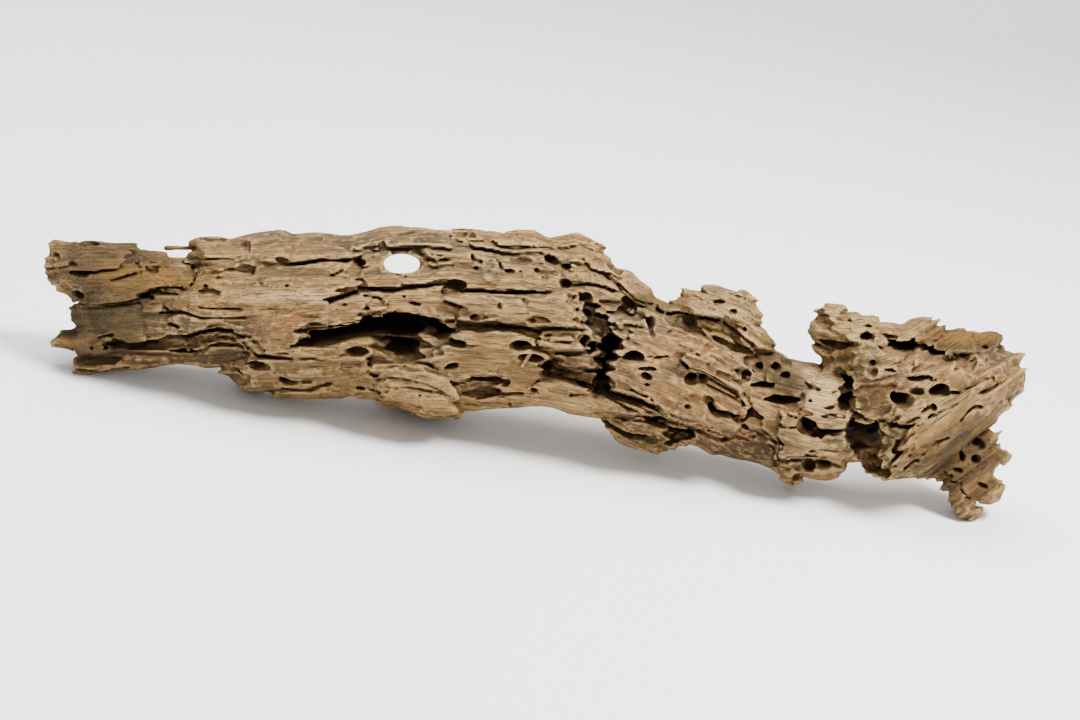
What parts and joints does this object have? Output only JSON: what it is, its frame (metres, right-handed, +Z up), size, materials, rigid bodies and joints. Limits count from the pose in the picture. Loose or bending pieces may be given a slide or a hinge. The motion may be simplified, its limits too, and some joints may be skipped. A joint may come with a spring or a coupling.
{
  "type": "honeycomb wood",
  "caption": "Weathered branch of honeycomb wood, bored through by shipworm-like galleries, with torn plates and ragged ends, lying on its own low points.",
  "frame": {"origin": "centre of the bounding box's bottom, on the surface that the wood lies on", "axes": "+X along the branch towards the end with the leg, +Z up, the galleried face towards -Y"},
  "size_m": [0.4982, 0.1012, 0.106],
  "materials": {
    "wood": "dry, weathered, unsealed"
  },
  "bodies": {
    "root": {"honeycomb_wood": "wood"}
  },
  "joints": []
}
